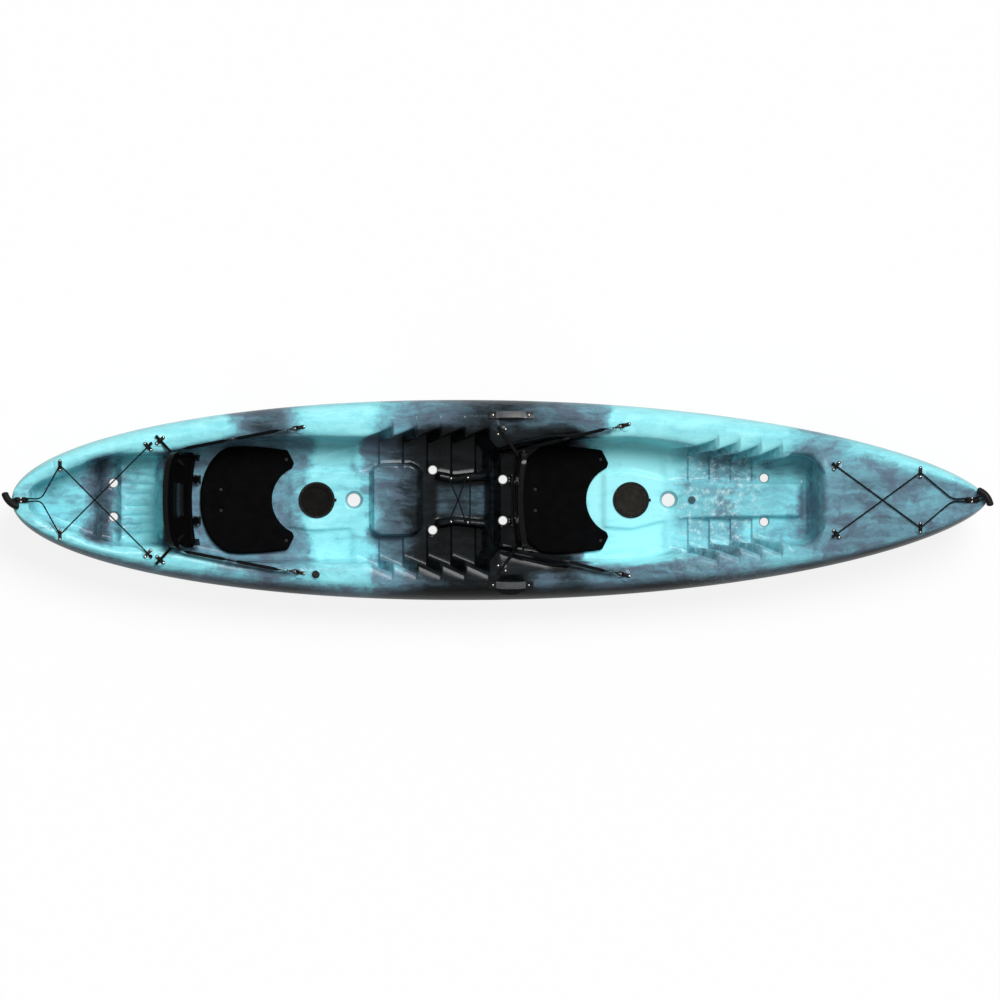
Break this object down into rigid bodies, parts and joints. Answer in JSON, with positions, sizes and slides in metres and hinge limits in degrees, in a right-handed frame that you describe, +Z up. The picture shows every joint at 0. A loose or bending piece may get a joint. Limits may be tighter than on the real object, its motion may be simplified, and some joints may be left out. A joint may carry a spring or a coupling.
{
  "type": "tandem kayak",
  "caption": "Sit-on-top tandem kayak: moulded hull with foot wells and scuppers, padded folding seats, turn-off hatch covers, elastic deck lashings and carry handles.",
  "frame": {"origin": "middle of the boat at the bottom of the keel", "axes": "+X to the bow, +Y to port, +Z up"},
  "size_m": [4.1563, 0.8418, 0.4375],
  "materials": {
    "hull_plastic": "satin rotomoulded plastic, three colours swirled together",
    "black_plastic": "satin moulded plastic",
    "grey_plastic": "satin moulded plastic",
    "seal_rubber": "matt",
    "grip_rubber": "matt",
    "pad_foam": "closed-cell foam, matt",
    "webbing": "woven",
    "elastic_cord": "braided",
    "steel": "satin stainless"
  },
  "bodies": {
    "hull": {"hull": "hull_plastic", "rear_hatch_ring": "black_plastic", "front_hatch_ring": "black_plastic", "hatch_ring_screws": "steel", "rear_seat_pad": "pad_foam", "front_seat_pad": "pad_foam", "seat_pad_rivets": "steel", "rear_hinge_brackets": "black_plastic", "front_hinge_brackets": "black_plastic", "rear_hinge_pins": "steel", "front_hinge_pins": "steel", "hinge_bracket_screws": "steel", "rear_strap_port": "webbing", "rear_strap_starboard": "webbing", "front_strap_port": "webbing", "front_strap_starboard": "webbing", "rear_stay_port": "webbing", "rear_stay_starboard": "webbing", "front_stay_port": "webbing", "front_stay_starboard": "webbing", "strap_adjusters": "black_plastic", "strap_hooks": "steel", "bow_deck_loops": "black_plastic", "stern_deck_loops": "black_plastic", "rear_seat_anchors": "black_plastic", "front_seat_anchors": "black_plastic", "lashing_buttons": "black_plastic", "deck_screws": "steel", "bow_lashing": "elastic_cord", "stern_lashing": "elastic_cord", "centre_lashing": "elastic_cord", "side_handle_port": "grey_plastic", "side_handle_starboard": "grey_plastic", "side_handle_screws": "steel", "drain_housing": "black_plastic", "deck_plug": "black_plastic", "bow_eye": "black_plastic", "stern_eye": "black_plastic"},
    "rear_backrest": {"rear_backrest": "black_plastic"},
    "front_backrest": {"front_backrest": "black_plastic"},
    "rear_hatch_seal": {"rear_hatch_seal": "seal_rubber"},
    "rear_hatch_cover": {"rear_hatch_cover": "black_plastic"},
    "front_hatch_seal": {"front_hatch_seal": "seal_rubber"},
    "front_hatch_cover": {"front_hatch_cover": "black_plastic"},
    "drain_seal": {"drain_seal": "seal_rubber"},
    "drain_plug": {"drain_plug": "black_plastic"},
    "bow_toggle": {"bow_toggle_cord": "elastic_cord", "bow_toggle": "grip_rubber"},
    "stern_toggle": {"stern_toggle_cord": "elastic_cord", "stern_toggle": "grip_rubber"}
  },
  "joints": [
    {"name": "rear_backrest_fold", "type": "hinge", "parent": "hull", "child": "rear_backrest", "pos_m": [-1.263, 0, 0.128], "axis": [0, 1, 0], "range_deg": [0, 86], "deforming": ["rear_strap_port", "rear_strap_starboard", "rear_stay_port", "rear_stay_starboard"]},
    {"name": "front_backrest_fold", "type": "hinge", "parent": "hull", "child": "front_backrest", "pos_m": [0.054, 0, 0.128], "axis": [0, 1, 0], "range_deg": [0, 53], "deforming": ["front_strap_port", "front_strap_starboard", "front_stay_port", "front_stay_starboard"]},
    {"name": "rear_hatch_lift", "type": "slide", "parent": "hull", "child": "rear_hatch_seal", "axis": [0, 0, 1], "range_m": [0, 0.08]},
    {"name": "rear_hatch_turn", "type": "hinge", "parent": "rear_hatch_seal", "child": "rear_hatch_cover", "pos_m": [-0.766, 0, 0.13], "axis": [0, 0, 1], "range_deg": [0, 120]},
    {"name": "front_hatch_lift", "type": "slide", "parent": "hull", "child": "front_hatch_seal", "axis": [0, 0, 1], "range_m": [0, 0.08]},
    {"name": "front_hatch_turn", "type": "hinge", "parent": "front_hatch_seal", "child": "front_hatch_cover", "pos_m": [0.551, 0, 0.13], "axis": [0, 0, 1], "range_deg": [0, 120]},
    {"name": "drain_lift", "type": "slide", "parent": "hull", "child": "drain_seal", "axis": [0.0151, 0.0714, 0.9973], "range_m": [0, 0.04]},
    {"name": "drain_turn", "type": "hinge", "parent": "drain_seal", "child": "drain_plug", "pos_m": [-0.77, -0.312, 0.31167], "axis": [0.0151, 0.0714, 0.9973], "range_deg": [0, 180]},
    {"name": "bow_toggle_swing", "type": "hinge", "parent": "hull", "child": "bow_toggle", "pos_m": [1.994, 0, 0.39779], "axis": [-0.342, 0.9397, 0], "range_deg": [-65, 0]},
    {"name": "stern_toggle_swing", "type": "hinge", "parent": "hull", "child": "stern_toggle", "pos_m": [-2.02, 0, 0.36177], "axis": [0.2079, -0.9781, 0], "range_deg": [-65, 0]}
  ]
}
